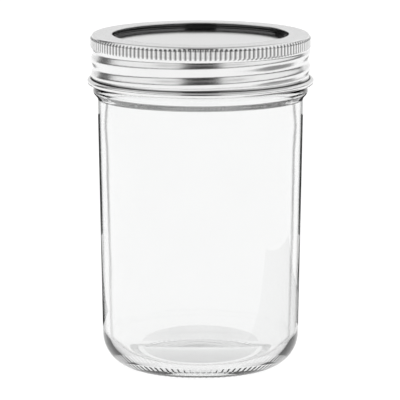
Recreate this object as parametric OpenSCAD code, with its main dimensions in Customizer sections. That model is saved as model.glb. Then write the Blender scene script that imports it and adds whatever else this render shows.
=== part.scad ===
// Wide-mouth glass jar for a sourdough starter, closed by a flat metal lid and a knurled screw band.
// All sizes are in millimetres. The origin is the centre of the ring that the jar stands on, with +Z up.

/* [Overall] */
// Height of the closed jar, from the surface that it stands on to the top of the band
closed_h = 137; // [110:0.5:180]

/* [Glass body] */
// Outside diameter where the body meets the neck
shoulder_d = 83.6; // [82.8:0.1:84.4]
// Outside diameter at the top of the heel, a little less so that the mould lets go
heel_d = 80.1; // [76:0.1:82.8]
// Thickness of the side wall
wall_t = 2.9; // [2.2:0.1:3.4]
// Outside radius of the rounded heel
heel_r = 13.7; // [9:0.1:15]
// Width of the flat ring that the jar stands on
foot_w = 2.2; // [1.4:0.1:3.5]
// Height of the push-up under the base, at its centre
push_up_h = 3.2; // [1.5:0.1:5]
// Thickness of the glass floor at its centre
floor_t = 4.4; // [3:0.1:6]

/* [Glass mouth] */
// Bore of the mouth
mouth_d = 76; // [74:0.2:76.6]
// Outside diameter of the finish, the plain wall that the thread stands on
finish_d = 82.4; // [81.6:0.1:83]
// Outside diameter of the transfer bead, the round collar below the finish
transfer_bead_d = 87.4; // [86.4:0.1:88]
// Section radius of the transfer bead
transfer_bead_r = 2.4; // [2:0.1:2.6]
// Rounding of the two edges of the rim
rim_r = 1; // [0.6:0.1:1.2]

/* [Lid] */
// Outside diameter of the flat lid
lid_d = 86; // [85.4:0.1:86.4]
// Thickness of the lid's sheet
lid_t = 0.4; // [0.3:0.05:0.5]
// Diameter of the step between the raised rim and the sunk panel
step_d = 74.4; // [73.6:0.1:75]
// Depth of the panel below the raised rim
panel_drop = 1.75; // [1.4:0.05:2]
// Height of the lid's rolled-down edge
lid_edge_h = 1.25; // [1:0.05:1.4]
// Thickness of the sealing ring in the rim's channel
seal_t = 0.9; // [0.7:0.05:1]

/* [Screw band] */
// Height of the band
band_h = 20.3; // [19:0.1:21]
// Thickness of the band's sheet
band_t = 0.45; // [0.3:0.05:0.5]
// Diameter of the round opening in the top
opening_d = 71.8; // [66:0.1:73]
// Outside diameter of the skirt
skirt_d = 88.4; // [88:0.1:89]
// Outside diameter of the bead rolled at the foot of the skirt
rolled_bead_d = 92.2; // [91.6:0.1:93]
// Outside radius of the corner between the top and the skirt
corner_r = 0.9; // [0.7:0.05:1.2]
// Number of ribs in the knurled grip
knurl_count = 140; // [100:1:160]
// Outside diameter over the ribs
knurl_d = 89.4; // [89.2:0.1:90]
// Height of the knurled grip
knurl_h = 4.7; // [3:0.1:6]

/* [Hidden] */

// Small running gaps that let the closure lift and turn
lid_to_band_gap = 0.1;
seal_to_rim_gap = 0.2;

// Lid: its rim lies under the band's top, and its channel holds the sealing ring
lid_top_z = closed_h - band_t - lid_to_band_gap;
panel_z = lid_top_z - panel_drop;
lid_r = lid_d / 2;
step_r = step_d / 2;
lid_bend_r = 0.4;
seal_top_z = lid_top_z - lid_t;
seal_inner_r = step_r + lid_t + lid_bend_r;
seal_outer_r = lid_r - lid_t - lid_bend_r;

// Band: the corner under the top, the grip, and the bead rolled out and back at the foot
band_foot_z = closed_h - band_h;
skirt_r = skirt_d / 2;
skirt_inner_r = skirt_r - band_t;
opening_r = opening_d / 2;
rolled_bead_r = (rolled_bead_d / 2 - skirt_inner_r) / 2;
rolled_bead_at = [skirt_inner_r + rolled_bead_r, band_foot_z + rolled_bead_r];
rolled_bead_end = 475;
knurl_top_z = closed_h - corner_r;
knurl_foot_z = knurl_top_z - knurl_h;
knurl_bevel = 0.4;
knurl_root_r = skirt_r + 0.06;
knurl_crest_r = knurl_d / 2;
// Share of a rib's pitch that one side of the groove beside it takes
knurl_groove = 0.2;

// Glass: the mouth hangs from the lid, and the heel stands on the origin
rim_z = seal_top_z - seal_t - seal_to_rim_gap;
mouth_r = mouth_d / 2;
finish_r = finish_d / 2;
transfer_bead_at = [transfer_bead_d / 2 - transfer_bead_r, band_foot_z - 0.5 - transfer_bead_r];
neck_foot_z = transfer_bead_at[1] - transfer_bead_r;
shoulder_z = neck_foot_z - 2.4;
shoulder_r = shoulder_d / 2;
heel_outer_r = heel_d / 2;
foot_outer_r = heel_outer_r - heel_r;
foot_inner_r = foot_outer_r - foot_w;
inner_heel_r = heel_r - wall_t;
inner_heel_z = floor_t + inner_heel_r;
inner_shoulder_r = shoulder_r - wall_t;
inner_shoulder_z = shoulder_z - 2;
mouth_foot_z = band_foot_z - 1;

dome_steps = 8;
arc_steps = 12;
$fn = 96;

// Points of an arc about at, from angle a to angle b in degrees
function arc(at, r, a, b, steps = arc_steps) =
    [for (i = [0:steps]) let (t = a + (b - a) * i / steps) at + r * [cos(t), sin(t)]];

// Points of a shallow dome from the axis out to radius r, h high at the axis and standing on z
function dome(r, h, z) = [for (i = [0:dome_steps]) let (k = i / dome_steps) [r * k, z + h * (1 - k * k)]];

function reversed(points) = [for (i = [len(points) - 1:-1:0]) points[i]];

// One face of the lid's sheet, depth below the upper face, from the axis to the edge
function lid_face(depth) = concat(
    [[0, panel_z - depth]],
    arc([step_r - lid_bend_r, panel_z + lid_bend_r], lid_bend_r + depth, -90, 0, 4),
    arc([seal_inner_r, seal_top_z - lid_bend_r], lid_bend_r + lid_t - depth, 180, 90, 4),
    arc([seal_outer_r, seal_top_z - lid_bend_r], lid_bend_r + lid_t - depth, 90, 0, 4),
    [[lid_r - depth, lid_top_z - lid_edge_h]]);

// One face of the band's sheet, depth inside the outer face, from the opening to the bead's end
function band_face(depth) = concat(
    [[opening_r, closed_h - depth]],
    arc([skirt_r - corner_r, closed_h - corner_r], corner_r - depth, 90, 0, 6),
    arc(rolled_bead_at, rolled_bead_r - band_t + depth, 180, rolled_bead_end, 20));

// Outline of the grip seen from above: flat-topped ribs with a V groove between them
function knurl_outline() = [
    for (i = [0:knurl_count - 1])
        for (p = [[0, knurl_root_r], [knurl_groove, knurl_crest_r], [1 - knurl_groove, knurl_crest_r]])
            let (t = 360 * (i + p[0]) / knurl_count) p[1] * [cos(t), sin(t)]];

// Outside of the glass, from the middle of the push-up to the rim
function glass_outside() = concat(
    dome(foot_inner_r, push_up_h, 0),
    arc([foot_outer_r, heel_r], heel_r, -90, 0),
    [[shoulder_r, shoulder_z]],
    arc(transfer_bead_at, transfer_bead_r, -90, 90),
    [[finish_r, transfer_bead_at[1] + transfer_bead_r]],
    arc([finish_r - rim_r, rim_z - rim_r], rim_r, 0, 90, 5));

// Inside of the glass, from the rim to the middle of the floor
function glass_inside() = concat(
    arc([mouth_r + rim_r, rim_z - rim_r], rim_r, 90, 180, 5),
    [[mouth_r, mouth_foot_z], [inner_shoulder_r, inner_shoulder_z]],
    arc([foot_outer_r, inner_heel_z], inner_heel_r, 0, -90),
    reversed(dome(foot_outer_r, push_up_h, floor_t)));

module glass_jar() {
    color([0.86, 0.92, 0.92, 0.45])
        rotate_extrude() polygon(concat(glass_outside(), glass_inside()));
}

module lid_disc() {
    color("gainsboro")
        rotate_extrude() polygon(concat(lid_face(0), reversed(lid_face(lid_t))));
}

module sealing_ring() {
    color("whitesmoke")
        rotate_extrude()
            translate([seal_inner_r, seal_top_z - seal_t]) square([seal_outer_r - seal_inner_r, seal_t]);
}

// Ring of ribs, bevelled at both ends and rooted in the middle of the band's sheet
module knurled_grip() {
    bury_r = skirt_r - band_t / 2;
    intersection() {
        translate([0, 0, knurl_foot_z - 1]) linear_extrude(knurl_h + 2) polygon(knurl_outline());
        rotate_extrude() polygon([
            [bury_r, knurl_foot_z],
            [knurl_root_r, knurl_foot_z],
            [knurl_crest_r + 0.1, knurl_foot_z + knurl_bevel],
            [knurl_crest_r + 0.1, knurl_top_z - knurl_bevel],
            [knurl_root_r, knurl_top_z],
            [bury_r, knurl_top_z]]);
    }
}

module screw_band() {
    color("silver") union() {
        rotate_extrude() polygon(concat(band_face(0), reversed(band_face(band_t))));
        knurled_grip();
    }
}

glass_jar();
lid_disc();
sealing_ring();
screw_band();
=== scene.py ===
"""A wide-mouth glass jar for a sourdough starter, closed by a flat metal lid and a rolled screw band.

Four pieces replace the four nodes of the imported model. Each is a smooth surface worked out as a grid: an
outline of radius and height is carried round the jar's axis, and a relief function presses the threads, the
grip and the stipples into it. Lengths are in millimetres until a mesh is made, and then in metres.
"""

import math

import bpy
import numpy as np
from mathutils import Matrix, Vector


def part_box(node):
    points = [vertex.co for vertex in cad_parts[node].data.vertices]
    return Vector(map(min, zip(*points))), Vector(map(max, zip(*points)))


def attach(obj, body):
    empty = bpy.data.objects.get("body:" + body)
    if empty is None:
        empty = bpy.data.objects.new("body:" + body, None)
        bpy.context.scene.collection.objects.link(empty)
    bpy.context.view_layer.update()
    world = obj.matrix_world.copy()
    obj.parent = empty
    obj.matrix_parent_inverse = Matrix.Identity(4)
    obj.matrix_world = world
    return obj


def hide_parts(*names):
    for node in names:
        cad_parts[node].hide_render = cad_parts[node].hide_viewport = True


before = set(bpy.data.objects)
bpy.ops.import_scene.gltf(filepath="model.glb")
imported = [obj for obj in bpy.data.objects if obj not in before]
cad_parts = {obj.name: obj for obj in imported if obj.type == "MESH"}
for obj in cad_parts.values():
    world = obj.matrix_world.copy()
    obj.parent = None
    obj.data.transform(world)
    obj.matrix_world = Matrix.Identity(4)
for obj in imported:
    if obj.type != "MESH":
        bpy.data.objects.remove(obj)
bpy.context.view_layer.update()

MM = 0.001


def size_of(node):
    """Largest radius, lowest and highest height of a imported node, in millimetres."""
    low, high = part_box(node)
    return high.x / MM, low.z / MM, high.z / MM


band_r, band_foot, closed_h = size_of("screw_band")
lid_r, lid_foot, lid_top = size_of("lid_disc")
seal_r, seal_foot, seal_top = size_of("sealing_ring")
bead_r, _, rim_top = size_of("glass_jar")


# Outlines and surfaces of revolution

def arc(centre, radius, start, end, steps):
    """Points on a circle: centre plus radius times (cosine, sine) of an angle from start to end."""
    angle = np.radians(np.linspace(start, end, steps + 1))
    return np.column_stack([centre[0] + radius * np.cos(angle), centre[1] + radius * np.sin(angle)])


def straight(start, end, steps):
    """Evenly spaced points on the line from start to end."""
    share = np.linspace(0, 1, steps + 1)[:, None]
    return np.array(start, float) * (1 - share) + np.array(end, float) * share


def dome(radius, height, steps):
    """Points of a shallow dome from the axis out to radius: height times 1 less the square of the share."""
    share = np.linspace(0, 1, steps + 1)
    return np.column_stack([radius * share, height * (1 - share**2)])


def joined(*stretches):
    """One outline from stretches laid end to end, with each shared end kept once."""
    same_place = 1e-4
    points = np.vstack(stretches)
    apart = np.linalg.norm(np.diff(points, axis=0), axis=1) > same_place
    return points[np.append(True, apart)]


def smooth_step(value, low, high):
    """0 below low, 1 above high, and 3t^2 - 2t^3 of the share t between them."""
    share = np.clip((value - low) / (high - low), 0, 1)
    return share * share * (3 - 2 * share)


def window(value, low, high, fade):
    """1 between low and high, fading smoothly to 0 over fade outside them."""
    return smooth_step(value, low - fade, low) * (1 - smooth_step(value, high, high + fade))


def lathe(name, outline, columns, relief=None, closed=False):
    """Carries an outline of (radius, height) once round the jar's axis and makes it a mesh.

    The point of row i at turn a is (radius_i cos a, radius_i sin a, height_i). relief takes the radii,
    heights and turns of the whole grid. It gives back its pressed radii and heights, and how much painted
    shade each point gets, which is kept as a point attribute for the tinplate. The outline runs with the
    solid on its left. An open one starts and ends on the axis, where each end becomes one vertex; a closed
    one meets itself.
    """
    turn = np.linspace(0, 2 * np.pi, columns, endpoint=False)[None, :]
    rings = outline if closed else outline[1:-1]
    radius = np.repeat(rings[:, :1], columns, axis=1)
    height = np.repeat(rings[:, 1:], columns, axis=1)
    painted_shade = np.zeros_like(radius)
    if relief:
        radius, height, painted_shade = relief(radius, height, turn)
    points = np.stack([radius * np.cos(turn), radius * np.sin(turn), height], axis=-1).reshape(-1, 3)
    rows = len(rings)
    row = np.arange(rows if closed else rows - 1)[:, None] * columns
    above = (row + columns) % (rows * columns)
    column = np.arange(columns)[None, :]
    beside = (column + 1) % columns
    corners = [row + column, row + beside, above + beside, above + column]
    faces = np.stack(corners, axis=-1).reshape(-1, 4).tolist()
    if not closed:
        first, last = len(points), len(points) + 1
        points = np.vstack([points, [[0, 0, outline[0, 1]], [0, 0, outline[-1, 1]]]])
        top = (rows - 1) * columns
        faces += np.stack([np.full(columns, first), beside[0], column[0]], axis=-1).tolist()
        faces += np.stack([top + column[0], top + beside[0], np.full(columns, last)], axis=-1).tolist()
    mesh = bpy.data.meshes.new(name)
    mesh.from_pydata(points * MM, [], faces)
    mesh.polygons.foreach_set("use_smooth", np.ones(len(mesh.polygons), bool))
    mesh.update()
    # Painted shade of each point, kept as a point attribute that the tinplate turns to a darker grey
    depths = np.zeros(len(points), np.float32)
    depths[:painted_shade.size] = painted_shade.ravel()
    mesh.attributes.new("painted_shade", "FLOAT", "POINT").data.foreach_set("value", depths)
    piece = bpy.data.objects.new(name, mesh)
    bpy.context.scene.collection.objects.link(piece)
    return piece


# The thread, on the glass and in the band: it climbs to the right, by one lead in each turn

THREAD_LEAD = 6.35


def thread_phase(height, turn, height_at_front):
    """How many leads a point lies above the helix that passes the front at the given height: the rise over
    the lead, less the share of a turn that it stands round from the front."""
    from_front = turn + np.pi / 2
    return (height - height_at_front) / THREAD_LEAD - from_front / (2 * np.pi)


# The glass body

FOOT_R = 26.35
FOOT_WIDTH = 2.2
HEEL_ROUND = 13.7
PUSH_UP = 3.2
FLOOR_THICKNESS = 4.4
WALL = 2.9
SHOULDER = (41.8, 109.0)
FINISH_R = 41.2
MOUTH_R = 38.0
RIM_ROUND = 1.0

# Bead round the neck: the radius of its section, its gap below the band, and the height from which the glass
# swells to it
BEAD_ROUND = 2.4
BEAD_GAP = 0.5
SWELLS_FROM = 110.6

# Heights between which the inside narrows from the wall to the mouth
NARROWS_FROM = 98.0
NARROWS_TO = 116.2

# Stipples: bars moulded round the heel between two radii, just outside the ring that the jar stands on. They
# are whole down to STIPPLE_SKIN under its face, and fade out below that. The heel's round has closer rows up
# to STIPPLED_TO_ANGLE, in degrees
STIPPLE_COUNT = 76
STIPPLE_RING = (27.0, 31.2)
STIPPLE_FADE = 0.4
STIPPLE_DEPTH = 0.25
STIPPLE_SKIN = 0.3
STIPPLED_TO_ANGLE = -66
COLUMNS_PER_STIPPLE = 6

# Thread moulded on the finish, which stays clear of the band's own thread. RIDGE_SKIN gives the depths under
# the finish's face between which it sets in
RIDGE_H = 1.45
RIDGE_AT_FRONT = 121.9
RIDGE_SPAN = (121.2, 130.9)
RIDGE_FADE = 0.9
RIDGE_SKIN = (0.3, 0.05)


def glass_outline():
    """The glass from the middle of its push-up, out and up to the rim, and down the inside to the floor.

    The swelling under the bead and the widening inside the neck are smooth steps of the height.
    """
    heel_at = (FOOT_R, HEEL_ROUND)
    bead_at = (bead_r - BEAD_ROUND, band_foot - BEAD_GAP - BEAD_ROUND)
    rim_z = rim_top - RIM_ROUND
    swell_z = np.linspace(SHOULDER[1], bead_at[1], 17)
    swell_r = SHOULDER[0] + (bead_r - SHOULDER[0]) * smooth_step(swell_z, SWELLS_FROM, bead_at[1])
    outside = joined(
        dome(FOOT_R - FOOT_WIDTH, PUSH_UP, 12),
        arc(heel_at, HEEL_ROUND, -90, STIPPLED_TO_ANGLE, 16),
        arc(heel_at, HEEL_ROUND, STIPPLED_TO_ANGLE, 0, 24),
        straight((FOOT_R + HEEL_ROUND, HEEL_ROUND), SHOULDER, 12),
        np.column_stack([swell_r, swell_z]),
        arc(bead_at, BEAD_ROUND, 0, 90, 8),
        straight((FINISH_R, bead_at[1] + BEAD_ROUND), (FINISH_R, rim_z), 36),
        arc((FINISH_R - RIM_ROUND, rim_z), RIM_ROUND, 0, 90, 5),
    )
    inner_heel = HEEL_ROUND - WALL
    inner_heel_at = (FOOT_R, FLOOR_THICKNESS + inner_heel)
    neck_z = np.linspace(NARROWS_TO, NARROWS_FROM, 13)
    widening = SHOULDER[0] - WALL - MOUTH_R
    neck_r = MOUTH_R + widening * (1 - smooth_step(neck_z, NARROWS_FROM, NARROWS_TO))
    neck = np.column_stack([neck_r, neck_z])
    inside = joined(
        arc((MOUTH_R + RIM_ROUND, rim_z), RIM_ROUND, 90, 180, 5),
        straight((MOUTH_R, rim_z), (MOUTH_R, NARROWS_TO), 6),
        neck,
        straight(neck[-1], (FOOT_R + inner_heel, inner_heel_at[1]), 12),
        arc(inner_heel_at, inner_heel, 0, -90, 24),
        (dome(FOOT_R, PUSH_UP, 12) + [0, FLOOR_THICKNESS])[::-1],
    )
    return joined(outside, inside)


def moulded_glass(radius, height, turn):
    """The stipples and the thread moulded on the outside of the glass.

    A stipple is the crest of a cosine of the turn, and the glass between two of them is pressed in towards
    the middle of the heel's round. The thread is the sixth power of the cosine of pi times its phase, so that
    it stands as a narrow ridge wherever the phase is whole, and it fades out at both ends.
    """
    from_heel = np.hypot(radius - FOOT_R, height - HEEL_ROUND)
    on_face = window(from_heel, HEEL_ROUND - STIPPLE_SKIN, HEEL_ROUND + STIPPLE_SKIN, STIPPLE_SKIN)
    on_heel = on_face * (height < HEEL_ROUND)
    between = 0.5 - 0.5 * np.cos(STIPPLE_COUNT * turn)
    press = STIPPLE_DEPTH * between * on_heel * window(radius, *STIPPLE_RING, STIPPLE_FADE)
    towards = press / np.maximum(from_heel, 1)
    threaded = window(height, *RIDGE_SPAN, RIDGE_FADE)
    on_finish = smooth_step(radius, FINISH_R - RIDGE_SKIN[0], FINISH_R - RIDGE_SKIN[1]) * threaded
    ridge = RIDGE_H * on_finish * np.cos(np.pi * thread_phase(height, turn, RIDGE_AT_FRONT)) ** 6
    moulded_r = radius + (FOOT_R - radius) * towards + ridge
    moulded_z = height + (HEEL_ROUND - height) * towards
    return moulded_r, moulded_z, np.zeros_like(radius)


def make_glass():
    """The glass body: its outline carried round, with a few columns to each stipple."""
    return lathe("glass_jar_clear", glass_outline(), STIPPLE_COUNT * COLUMNS_PER_STIPPLE, moulded_glass)


# The flat lid and its sealing ring

LID_SHEET = 0.4
LID_BEND = 0.4
LID_COLUMNS = 256
STEP_R = 37.2
PANEL_DROP = 1.75
CHANNEL_R = STEP_R + LID_SHEET + LID_BEND

# Foot of the step: a strip with rows of its own, and how far inwards and outwards its painted shade reaches
STEP_STRIP = 1.6
STEP_SHADE = (0.9, 0.2)
STEP_SHADE_FADE = 0.3


def lid_face(depth):
    """One face of the lid's sheet, depth under the upper one, from the axis out to the rolled-down edge."""
    panel = lid_top - PANEL_DROP
    channel_out = lid_r - LID_SHEET - LID_BEND
    bend_z = lid_top - LID_SHEET - LID_BEND
    return joined(
        straight((0, panel - depth), (STEP_R - STEP_STRIP, panel - depth), 10),
        straight((STEP_R - STEP_STRIP, panel - depth), (STEP_R - LID_BEND, panel - depth), 4),
        arc((STEP_R - LID_BEND, panel + LID_BEND), LID_BEND + depth, -90, 0, 6),
        arc((CHANNEL_R, bend_z), LID_BEND + LID_SHEET - depth, 180, 90, 6),
        arc((channel_out, bend_z), LID_BEND + LID_SHEET - depth, 90, 0, 6),
        straight((lid_r - depth, bend_z), (lid_r - depth, lid_foot), 2),
    )


def lid_step_shade(radius, height, turn):
    """The lid as it is, with painted shade at the foot of its step, where the tinplate turns dark: a
    window of the radius, on the upper face alone."""
    # Painted shade: the foot of the lid's step, on its upper face
    at_step = window(radius, STEP_R - STEP_SHADE[0], STEP_R + STEP_SHADE[1], STEP_SHADE_FADE)
    upper_face = height > lid_top - PANEL_DROP - LID_SHEET / 4
    return radius, height, at_step * upper_face


def make_lid():
    """The lid: its lower and its upper face, joined at the rolled-down edge and carried round."""
    outline = joined(lid_face(LID_SHEET), lid_face(0)[::-1])
    return lathe("lid_disc_pressed", outline, LID_COLUMNS, lid_step_shade)


def make_seal():
    """The compound in the lid's channel: a rectangle with rounded corners, carried round."""
    corner = 0.2
    outline = joined(
        arc((seal_r - corner, seal_foot + corner), corner, -90, 0, 4),
        arc((seal_r - corner, seal_top - corner), corner, 0, 90, 4),
        arc((CHANNEL_R + corner, seal_top - corner), corner, 90, 180, 4),
        arc((CHANNEL_R + corner, seal_foot + corner), corner, 180, 270, 4),
    )
    return lathe("sealing_ring_cast", outline, LID_COLUMNS, closed=True)


# The screw band

BAND_SHEET = 0.45
SKIRT_R = 44.2
OPENING_R = 35.9
CORNER_ROUND = 0.9
ROLLED_ROUND = 1.175
ROLLED_TO_ANGLE = 475

# Middle of the round edge at the opening, as a distance out from the opening
OPENING_EDGE = 0.2

# Depths under the skirt's face between which pressed relief sets in
RELIEF_DEPTHS = (1.2, 0.6)

# Knurled grip: its ribs stand on the skirt, from root to crest, and fade out over a bevel at both ends
KNURL_COUNT = 140
KNURL_H = 4.7
KNURL_ROOT = 0.06
KNURL_CREST = 0.5
KNURL_BEVEL = 0.45
KNURL_FADE = 0.4
COLUMNS_PER_RIB = 6

# Rolled thread: a groove pressed into the skirt, which swells a little round it
GROOVE_DEPTH = 0.95
GROOVE_AT_FRONT = 125.05
SWELL = 0.45
THREADED_SPAN = (120.2, 130.6)
THREADED_FADE = 1.0

# Crevice over the rolled bead, which gets painted shade: its heights above the band's foot, and its reach out
# from the skirt
CREVICE_SPAN = (2.2, 2.6)
CREVICE_FADE = 0.35
CREVICE_REACH = 0.4

knurl_top = closed_h - CORNER_ROUND
knurl_foot = knurl_top - KNURL_H


def band_face(depth, skirt_steps, bead_steps):
    """One face of the band's sheet, depth inside the outer one, from the opening down and round the bead."""
    corner_at = (SKIRT_R - CORNER_ROUND, knurl_top)
    bead_at = (band_r - ROLLED_ROUND, band_foot + ROLLED_ROUND)
    skirt = SKIRT_R - depth
    return joined(
        straight((OPENING_R + OPENING_EDGE, closed_h - depth), (corner_at[0], closed_h - depth), 3),
        arc(corner_at, CORNER_ROUND - depth, 90, 0, 6),
        straight((skirt, knurl_top), (skirt, knurl_foot), 9),
        straight((skirt, knurl_foot), (skirt, bead_at[1]), skirt_steps),
        arc(bead_at, ROLLED_ROUND - BAND_SHEET + depth, 180, ROLLED_TO_ANGLE, bead_steps),
    )


def pressed_band(radius, height, turn):
    """The grip's ribs and the helical thread, pressed through the whole sheet.

    A rib is 1 - cos^4 of half the rib's phase, so that a narrow groove parts broad crests. The thread is a
    cosine wave of its phase, with a groove wherever the phase is whole. Painted shade goes into the grooves
    between the ribs and into the crevice over the rolled bead.
    """
    rib = 1 - np.cos(turn * KNURL_COUNT / 2) ** 4
    grip = window(height, knurl_foot + KNURL_BEVEL, knurl_top - KNURL_BEVEL, KNURL_FADE)
    on_skirt = smooth_step(radius, SKIRT_R - RELIEF_DEPTHS[0], SKIRT_R - RELIEF_DEPTHS[1])
    lift = grip * on_skirt * (KNURL_ROOT + (KNURL_CREST - KNURL_ROOT) * rib)
    wave = 0.5 + 0.5 * np.cos(2 * np.pi * thread_phase(height, turn, GROOVE_AT_FRONT))
    threaded = window(height, *THREADED_SPAN, THREADED_FADE)
    over_bead = window(height, band_foot + CREVICE_SPAN[0], band_foot + CREVICE_SPAN[1], CREVICE_FADE)
    crevice = over_bead * (radius < SKIRT_R + CREVICE_REACH)
    # Painted shade: the grooves between the ribs and the crevice over the rolled bead
    painted_shade = on_skirt * (grip * (1 - rib) + crevice)
    return radius + lift + threaded * (SWELL - GROOVE_DEPTH * wave), height, np.clip(painted_shade, 0, 1)


def make_band():
    """The band: its outer and its inner face, joined by a round edge at the opening and carried round. The
    inner face, which hardly shows, has fewer rows."""
    edge = arc((OPENING_R + OPENING_EDGE, closed_h - BAND_SHEET / 2), BAND_SHEET / 2, 270, 90, 4)
    outer = band_face(0, skirt_steps=28, bead_steps=18)
    inner = band_face(BAND_SHEET, skirt_steps=15, bead_steps=10)
    outline = joined(outer[::-1], edge[::-1], inner)
    return lathe("screw_band_rolled", outline, KNURL_COUNT * COLUMNS_PER_RIB, pressed_band, closed=True)


# Parts of materials

def new_material(name):
    """An empty node material with its output, as (material, nodes, links, output)."""
    material = bpy.data.materials.new(name)
    material.use_nodes = True
    nodes = material.node_tree.nodes
    nodes.clear()
    return material, nodes, material.node_tree.links, nodes.new("ShaderNodeOutputMaterial")


def shading_group(name, inputs):
    """An empty shader node group with one output, Value, and the inputs given as {name: default value}."""
    group = bpy.data.node_groups.new(name, "ShaderNodeTree")
    group.interface.new_socket("Value", in_out="OUTPUT", socket_type="NodeSocketFloat")
    for label, value in inputs.items():
        socket = group.interface.new_socket(label, in_out="INPUT", socket_type="NodeSocketFloat")
        socket.default_value = value
    nodes = group.nodes
    return group, nodes, group.links, nodes.new("NodeGroupInput"), nodes.new("NodeGroupOutput")


def placed(nodes, group, **values):
    """Puts a node group in a material with its own values and gives back its output."""
    node = nodes.new("ShaderNodeGroup")
    node.node_tree = group
    for label, value in values.items():
        node.inputs[label.replace("_", " ")].default_value = value
    return node.outputs["Value"]


def feed(links, value, socket):
    """Gives a socket another node's output, or a plain number, vector or colour of its own."""
    if isinstance(value, bpy.types.NodeSocket):
        links.new(value, socket)
    elif socket.type == "RGBA":
        socket.default_value = (*value, 1)
    else:
        socket.default_value = value


def maths(nodes, links, operation, *values):
    """The number that a maths operation makes of its values, in order."""
    node = nodes.new("ShaderNodeMath")
    node.operation = operation
    for value, socket in zip(values, node.inputs):
        feed(links, value, socket)
    return node.outputs["Value"]


def vector_maths(nodes, links, operation, *values, output="Vector"):
    """The vector that an operation makes of its values, in order, or with output="Value" its number."""
    node = nodes.new("ShaderNodeVectorMath")
    node.operation = operation
    for value, socket in zip(values, node.inputs):
        feed(links, value, socket)
    return node.outputs[output]


def spread(nodes, links, value, low, high, start=0, end=1, interpolation="LINEAR"):
    """The value taken from start to end onto low to high, in a straight line or a smooth step."""
    node = nodes.new("ShaderNodeMapRange")
    node.interpolation_type = interpolation
    node.inputs["From Min"].default_value = start
    node.inputs["From Max"].default_value = end
    node.inputs["To Min"].default_value = low
    node.inputs["To Max"].default_value = high
    links.new(value, node.inputs["Value"])
    return node.outputs["Result"]


def blend(nodes, links, share, first, second):
    """The colour first where share is 0 and second where it is 1."""
    node = nodes.new("ShaderNodeMix")
    node.data_type = "RGBA"
    links.new(share, node.inputs["Factor"])
    first_socket, second_socket = (socket for socket in node.inputs if socket.type == "RGBA")
    feed(links, first, first_socket)
    feed(links, second, second_socket)
    return next(socket for socket in node.outputs if socket.type == "RGBA")


def bumped(nodes, links, height, strength, distance):
    """Normals bent by a height, distance metres from its lowest to its highest."""
    node = nodes.new("ShaderNodeBump")
    node.inputs["Strength"].default_value = strength
    node.inputs["Distance"].default_value = distance
    links.new(height, node.inputs["Height"])
    return node.outputs["Normal"]


def rolling_grain():
    """Fine lines that run round a rolled or drawn sheet, 0 to 1.

    The noise is stretched: it changes fast with the height plus the distance from the axis, and slowly round
    the axis.
    """
    group, nodes, links, given, out = shading_group("rolling_grain", {"Lines per Metre": 2500, "Round": 12})
    place = nodes.new("ShaderNodeTexCoord").outputs["Object"]
    parts = nodes.new("ShaderNodeSeparateXYZ")
    links.new(place, parts.inputs["Vector"])
    flat = vector_maths(nodes, links, "MULTIPLY", place, (1, 1, 0))
    from_axis = vector_maths(nodes, links, "LENGTH", flat, output="Value")
    along = maths(nodes, links, "ADD", from_axis, parts.outputs["Z"])
    fast = nodes.new("ShaderNodeCombineXYZ")
    links.new(maths(nodes, links, "MULTIPLY", along, given.outputs["Lines per Metre"]), fast.inputs["Z"])
    slow = nodes.new("ShaderNodeVectorMath")
    slow.operation = "SCALE"
    links.new(flat, slow.inputs["Vector"])
    links.new(given.outputs["Round"], slow.inputs["Scale"])
    noise = nodes.new("ShaderNodeTexNoise")
    noise.inputs["Scale"].default_value = 1
    noise.inputs["Detail"].default_value = 3
    stretched = vector_maths(nodes, links, "ADD", slow.outputs["Vector"], fast.outputs["Vector"])
    links.new(stretched, noise.inputs["Vector"])
    links.new(noise.outputs["Fac"], out.inputs["Value"])
    return group


def soft_clouding():
    """Broad soft patches, 0 to 1: a noise of the place on the piece."""
    group, nodes, links, given, out = shading_group("soft_clouding", {"Scale": 60, "Detail": 2})
    noise = nodes.new("ShaderNodeTexNoise")
    links.new(nodes.new("ShaderNodeTexCoord").outputs["Object"], noise.inputs["Vector"])
    links.new(given.outputs["Scale"], noise.inputs["Scale"])
    links.new(given.outputs["Detail"], noise.inputs["Detail"])
    links.new(noise.outputs["Fac"], out.inputs["Value"])
    return group


GRAIN = rolling_grain()
CLOUDING = soft_clouding()


# Materials of the jar

GLASS_INDEX = 1.5
GLASS_COLOURS = ((0.955, 0.958, 0.957), (0.972, 0.975, 0.974))

# Painted shade at the edge of the glass: its colour, where it starts and ends as the wall turns away from the
# eye, and its share, which grows from half to the whole between two heights in metres
EDGE_SHADE_COLOUR = (0.012, 0.013, 0.013)
EDGE_FACING = (0.72, 0.81)
EDGE_SHARES = (0.5, 1)
EDGE_HEIGHTS = (0.004, 0.065)

COMPOUND_COLOURS = ((0.68, 0.68, 0.66), (0.76, 0.76, 0.74))


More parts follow.
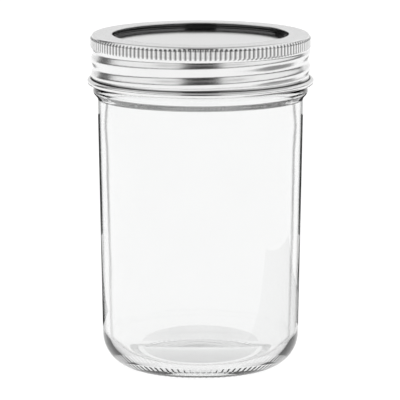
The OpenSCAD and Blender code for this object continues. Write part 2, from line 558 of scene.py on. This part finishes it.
def clear_glass():
    """Colourless moulded glass. Its edge, where one looks along the wall, gets painted shade, less so lower
    down.
    """
    material, nodes, links, output = new_material("clear_glass")
    glass = nodes.new("ShaderNodeBsdfPrincipled")
    glass.inputs["IOR"].default_value = GLASS_INDEX
    glass.inputs["Transmission Weight"].default_value = 1
    clouds = placed(nodes, CLOUDING, Scale=45, Detail=1)
    links.new(spread(nodes, links, clouds, 0, 0.02), glass.inputs["Roughness"])
    links.new(bumped(nodes, links, clouds, strength=0.35, distance=0.0004), glass.inputs["Normal"])
    # Painted shade: the base colour turns dark where the wall turns away from the eye
    look = nodes.new("ShaderNodeLayerWeight")
    look.inputs["Blend"].default_value = 0.5
    edge = spread(nodes, links, look.outputs["Facing"], 0, 1, *EDGE_FACING, "SMOOTHSTEP")
    parts = nodes.new("ShaderNodeSeparateXYZ")
    links.new(nodes.new("ShaderNodeTexCoord").outputs["Object"], parts.inputs["Vector"])
    fade = spread(nodes, links, parts.outputs["Z"], *EDGE_SHARES, *EDGE_HEIGHTS)
    edge_shade = maths(nodes, links, "MULTIPLY", edge, fade)
    clear = blend(nodes, links, clouds, *GLASS_COLOURS)
    links.new(blend(nodes, links, edge_shade, clear, EDGE_SHADE_COLOUR), glass.inputs["Base Color"])
    open_to_light = nodes.new("ShaderNodeBsdfTransparent")
    mix = nodes.new("ShaderNodeMixShader")
    links.new(nodes.new("ShaderNodeLightPath").outputs["Is Shadow Ray"], mix.inputs["Fac"])
    links.new(glass.outputs["BSDF"], mix.inputs[1])
    links.new(open_to_light.outputs["BSDF"], mix.inputs[2])
    links.new(mix.outputs["Shader"], output.inputs["Surface"])
    return material


def tinplate(name, bright, dull, shade_grey, roughness, lines):
    """Bright tin-plated sheet. Soft patches run between a bright and a dull grey, and where a piece asks for
    painted shade the sheet turns to a darker shade grey. The rolling grain, of so many lines per metre, goes
    into the gloss and the surface."""
    material, nodes, links, output = new_material(name)
    metal = nodes.new("ShaderNodeBsdfPrincipled")
    metal.inputs["Metallic"].default_value = 1
    grain = placed(nodes, GRAIN, Lines_per_Metre=lines)
    clouds = placed(nodes, CLOUDING, Scale=70, Detail=3)
    # Painted shade: the point attribute blends the sheet towards the shade grey
    painted_shade = nodes.new("ShaderNodeAttribute")
    painted_shade.attribute_name = "painted_shade"
    sheet = blend(nodes, links, clouds, (bright,) * 3, (dull,) * 3)
    links.new(blend(nodes, links, painted_shade.outputs["Fac"], sheet, (shade_grey,) * 3), metal.inputs["Base Color"])
    links.new(spread(nodes, links, grain, *roughness), metal.inputs["Roughness"])
    links.new(bumped(nodes, links, grain, strength=0.25, distance=0.00002), metal.inputs["Normal"])
    links.new(metal.outputs["BSDF"], output.inputs["Surface"])
    return material


def compound():
    """Soft pale grey lining, cast with a faint grain."""
    material, nodes, links, output = new_material("sealing_compound")
    rubber = nodes.new("ShaderNodeBsdfPrincipled")
    grit = placed(nodes, CLOUDING, Scale=900, Detail=4)
    clouds = placed(nodes, CLOUDING, Scale=80, Detail=2)
    links.new(blend(nodes, links, clouds, *COMPOUND_COLOURS), rubber.inputs["Base Color"])
    links.new(spread(nodes, links, clouds, 0.48, 0.62), rubber.inputs["Roughness"])
    links.new(bumped(nodes, links, grit, strength=0.4, distance=0.00008), rubber.inputs["Normal"])
    links.new(rubber.outputs["BSDF"], output.inputs["Surface"])
    return material


def dress(piece, material, body, node):
    """Gives a piece its material, lets it ride on its body, and hides the node that it stands for."""
    piece.data.materials.append(material)
    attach(piece, body)
    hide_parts(node)


dress(make_glass(), clear_glass(), "jar", "glass_jar")
# The lid's shade grey is painted shade at the foot of its step
lid_metal = tinplate("lid_tinplate", bright=0.93, dull=0.88, shade_grey=0.1,
                     roughness=(0.04, 0.16), lines=1500)
dress(make_lid(), lid_metal, "lid", "lid_disc")
dress(make_seal(), compound(), "lid", "sealing_ring")
# The band's shade grey is painted shade in the grooves of its grip and over its rolled bead
band_metal = tinplate("band_tinplate", bright=0.89, dull=0.82, shade_grey=0.16,
                      roughness=(0.18, 0.3), lines=2500)
dress(make_band(), band_metal, "band", "screw_band")


# Camera: far off and a little above, aimed at the middle of the closed jar

CAMERA_DISTANCE = 1500
CAMERA_ELEVATION = 9.82
CAMERA_AIM = (-0.2, 0, 68.4)
CAMERA_SENSOR = 36
FOCAL_PIXELS = 3670
PICTURE_PIXELS = 400

# Furthest distance that the camera sees, in metres
CAMERA_REACH = 50


def place_camera():
    """Camera on the -Y side, at the aim plus the distance back along the line of sight. Its lens is the
    sensor's width times the focal length in pixels, over the picture's width in pixels."""
    camera = bpy.data.cameras.new("camera")
    camera.sensor_width = CAMERA_SENSOR
    camera.lens = FOCAL_PIXELS * CAMERA_SENSOR / PICTURE_PIXELS
    camera.clip_end = CAMERA_REACH
    holder = bpy.data.objects.new("camera", camera)
    rise = math.radians(CAMERA_ELEVATION)
    aim = np.array(CAMERA_AIM) * MM
    back = np.array([0, -math.cos(rise), math.sin(rise)])
    holder.location = aim + back * CAMERA_DISTANCE * MM
    holder.rotation_euler = (math.pi / 2 - rise, 0, 0)
    bpy.context.scene.collection.objects.link(holder)
    bpy.context.scene.camera = holder


# Studio, in metres. Its cards aren't in the picture: they show only in reflections, or only through glass

# White floor just under the jar: half its side, its height, its matt white, its glow, and how much weaker the
# glow is through glass
FLOOR_HALF = 6
FLOOR_Z = -0.0001
FLOOR_MATT = 0.15
FLOOR_GLOW = 0.96
LESS_THROUGH_GLASS = 0.11

# Unlit room beyond the floor: part of an upright ring round the jar
ROOM_R = 1.3
ROOM_HEIGHTS = (0.13, 0.4)
ROOM_REACH = 135
ROOM_PANELS = 48
ROOM_GREY = 0.12

# Shade on the table behind the jar: half an ellipse
BEHIND_FROM = 0.03
BEHIND_HALF_WIDTH = 0.026
BEHIND_LENGTH = 0.034
BEHIND_Z = -0.00005
BEHIND_GREY = 0.86

# Shade under the jar: a disc, with its greys in front and at the back
UNDER_R = 0.0235
UNDER_Z = 0.0002
UNDER_GREYS = (0.66, 0.84)


def glowing(name, grey):
    """A plain material that shines with a grey, whatever lights it."""
    material, nodes, links, output = new_material(name)
    glow = nodes.new("ShaderNodeEmission")
    glow.inputs["Color"].default_value = (grey, grey, grey, 1)
    links.new(glow.outputs["Emission"], output.inputs["Surface"])
    return material


def plain_mesh(name, points, faces, material):
    """An object of one material from its points, in metres, and faces."""
    mesh = bpy.data.meshes.new(name)
    mesh.from_pydata(points, [], faces)
    mesh.materials.append(material)
    piece = bpy.data.objects.new(name, mesh)
    bpy.context.scene.collection.objects.link(piece)
    return piece


def staged(name, points, faces, material, in_glass=False):
    """A studio card that shows only in reflections, or with in_glass only through the glass."""
    piece = plain_mesh(name, points, faces, material)
    piece.visible_camera = False
    piece.visible_diffuse = False
    piece.visible_shadow = False
    piece.visible_glossy = not in_glass
    piece.visible_transmission = in_glass


def card(name, azimuth, distance, half_width, low, high, grey):
    """An upright card that faces the jar. azimuth is in degrees from the camera's side towards the right of
    the picture: the card's middle is the distance times (sine, minus cosine) of it."""
    angle = math.radians(azimuth)
    middle = np.array([math.sin(angle), -math.cos(angle)]) * distance
    across = np.array([math.cos(angle), math.sin(angle)]) * half_width
    left, right = middle - across, middle + across
    points = [(*left, low), (*right, low), (*right, high), (*left, high)]
    staged(name, points, [(0, 1, 2, 3)], glowing(name, grey))


def level_corners(x, y, z, half_x, half_y):
    """The corners of a level rectangle: its centre less or plus half of each side."""
    near = [(x - half_x, y - half_y, z), (x + half_x, y - half_y, z)]
    far = [(x + half_x, y + half_y, z), (x - half_x, y + half_y, z)]
    return near + far


def flat_card(name, x, y, z, half_x, half_y, grey):
    """A level card about a centre."""
    staged(name, level_corners(x, y, z, half_x, half_y), [(0, 1, 2, 3)], glowing(name, grey))


def dark_room():
    """The unlit room: panels between points on a circle, equally far round to both sides of the camera."""
    angle = np.radians(np.linspace(-ROOM_REACH, ROOM_REACH, ROOM_PANELS + 1))
    points = [(ROOM_R * math.sin(a), -ROOM_R * math.cos(a), z) for z in ROOM_HEIGHTS for a in angle]
    ring = len(angle)
    faces = [(i, i + 1, i + 1 + ring, i + ring) for i in range(ROOM_PANELS)]
    staged("room", points, faces, glowing("room", ROOM_GREY))


def behind_jar():
    """The soft shade on the table behind the jar, seen through its wall: points of half an ellipse."""
    angle = np.radians(np.linspace(0, 180, 33))
    points = [
        (BEHIND_HALF_WIDTH * math.cos(a), BEHIND_FROM + BEHIND_LENGTH * math.sin(a), BEHIND_Z)
        for a in angle
    ]
    material = glowing("behind_jar", BEHIND_GREY)
    staged("behind_jar", points, [tuple(range(len(points)))], material, in_glass=True)


def under_jar():
    """The shade under the jar, seen through its floor: a disc that lightens from the front to the back."""
    angle = np.radians(np.arange(0, 360, 7.5))
    points = [(UNDER_R * math.cos(a), UNDER_R * math.sin(a), UNDER_Z) for a in angle]
    material, nodes, links, output = new_material("under_jar")
    glow = nodes.new("ShaderNodeEmission")
    parts = nodes.new("ShaderNodeSeparateXYZ")
    links.new(nodes.new("ShaderNodeTexCoord").outputs["Object"], parts.inputs["Vector"])
    shade = spread(nodes, links, parts.outputs["Y"], *UNDER_GREYS, -UNDER_R, UNDER_R)
    links.new(shade, glow.inputs["Strength"])
    links.new(glow.outputs["Emission"], output.inputs["Surface"])
    staged("under_jar", points, [tuple(range(len(points)))], material, in_glass=True)


def make_floor():
    """A white floor just under the jar. It shines for the camera, in metal and through glass, and its own
    matt white shows the jar's shadow."""
    material, nodes, links, output = new_material("floor_white")
    paint = nodes.new("ShaderNodeBsdfDiffuse")
    paint.inputs["Color"].default_value = (FLOOR_MATT, FLOOR_MATT, FLOOR_MATT, 1)
    rays = nodes.new("ShaderNodeLightPath").outputs
    seen = maths(nodes, links, "MAXIMUM", rays["Is Camera Ray"], rays["Is Glossy Ray"])
    plain = spread(nodes, links, seen, 0, FLOOR_GLOW)
    strength = maths(nodes, links, "MULTIPLY_ADD", rays["Is Transmission Ray"], -LESS_THROUGH_GLASS, plain)
    glow = nodes.new("ShaderNodeEmission")
    links.new(strength, glow.inputs["Strength"])
    both = nodes.new("ShaderNodeAddShader")
    links.new(paint.outputs["BSDF"], both.inputs[0])
    links.new(glow.outputs["Emission"], both.inputs[1])
    links.new(both.outputs["Shader"], output.inputs["Surface"])
    corners = level_corners(0, 0, FLOOR_Z, FLOOR_HALF, FLOOR_HALF)
    floor = plain_mesh("floor", corners, [(0, 1, 2, 3)], material)


def make_world():
    """Plain white all round."""
    world = bpy.data.worlds.new("studio")
    bpy.context.scene.world = world
    world.use_nodes = True
    nodes, links = world.node_tree.nodes, world.node_tree.links
    nodes.clear()
    output = nodes.new("ShaderNodeOutputWorld")
    background = nodes.new("ShaderNodeBackground")
    background.inputs["Color"].default_value = (1, 1, 1, 1)
    background.inputs["Strength"].default_value = 1
    links.new(background.outputs["Background"], output.inputs["Surface"])


place_camera()
make_floor()
make_world()

# The room round the camera, over the jar and behind it, which the band, the lid and the neck mirror
card("behind_camera", azimuth=0, distance=1.6, half_width=0.62, low=0.05, high=2.6, grey=0.02)
card("backdrop", azimuth=180, distance=1.4, half_width=1.0, low=0.2, high=0.8, grey=0.8)
card("left_flag", azimuth=-124, distance=1.2, half_width=0.26, low=0.08, high=1.5, grey=0.1)
dark_room()
flat_card("ceiling", x=0, y=0, z=1.3, half_x=1.3, half_y=1.3, grey=0.5)
flat_card("right_table", x=0.17, y=0.03, z=0.002, half_x=0.1, half_y=0.1, grey=0.3)

# Dark cards behind the jar and on the table there, alike on both sides, which the edges of the jar mirror
for side, sign in (("left", -1), ("right", 1)):
    card(side + "_edge", azimuth=sign * 161, distance=0.3, half_width=0.07, low=0, high=0.06, grey=0.06)
    flat_card(side + "_edge_table", x=sign * 0.056, y=0.18, z=0.001, half_x=0.054, half_y=0.11, grey=0.06)

behind_jar()
under_jar()

bpy.context.scene.view_settings.view_transform = "Standard"
